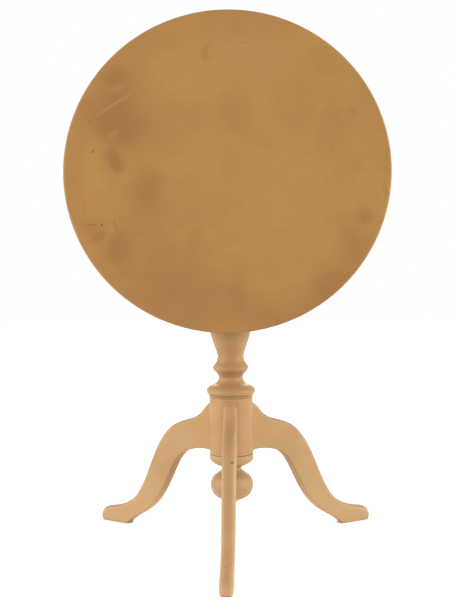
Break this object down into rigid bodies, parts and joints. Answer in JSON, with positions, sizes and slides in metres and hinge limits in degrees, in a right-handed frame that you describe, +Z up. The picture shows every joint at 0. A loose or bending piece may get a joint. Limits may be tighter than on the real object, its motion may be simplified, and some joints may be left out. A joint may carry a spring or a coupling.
{
  "type": "tilt-top pedestal table",
  "caption": "Tilt-top pedestal table: a round wooden top that tips upright on pintles and latches level with a spring catch, on a turned baluster column with S-shaped tripod legs.",
  "frame": {"origin": "on the floor, under the middle of the bounding box with the top upright", "axes": "+Z up, +X to the right and +Y away from someone who faces the upright top"},
  "size_m": [0.62, 0.5096, 1.0372],
  "materials": {
    "base_wood": "satin tan hardwood",
    "top_wood": "satin ochre, mottled",
    "block_wood": "plain, unpolished",
    "brass": "dull, handled",
    "iron": "dark, aged"
  },
  "bodies": {
    "base": {"column": "base_wood", "finial": "base_wood", "leg_front": "base_wood", "leg_right": "base_wood", "leg_left": "base_wood", "tilt_block": "block_wood", "tenon_wedge": "block_wood", "pintle_left": "base_wood", "pintle_right": "base_wood", "strike_plate": "brass", "strike_screw_left": "brass", "strike_screw_right": "brass"},
    "top": {"top_board_1": "top_wood", "top_board_2": "top_wood", "top_board_3": "top_wood", "batten_left": "block_wood", "batten_right": "block_wood", "batten_screw_left_1": "iron", "batten_screw_left_2": "iron", "batten_screw_left_3": "iron", "batten_screw_right_1": "iron", "batten_screw_right_2": "iron", "batten_screw_right_3": "iron", "catch_case": "brass", "catch_screw_1": "brass", "catch_screw_2": "brass", "catch_screw_3": "brass", "catch_screw_4": "brass", "catch_spring": "iron"},
    "catch": {"catch_bolt": "brass", "catch_knob": "brass"}
  },
  "joints": [
    {"name": "top_tilt", "type": "hinge", "parent": "base", "child": "top", "pos_m": [0, 0.00623, 0.6596], "axis": [-1, 0, 0], "range_deg": [0, 90]},
    {"name": "catch_slide", "type": "slide", "parent": "top", "child": "catch", "axis": [0, 0, 1], "range_m": [0, 0.01], "stiffness_N_per_m": 250, "springref_m": -0.01, "deforming": ["catch_spring"]}
  ]
}
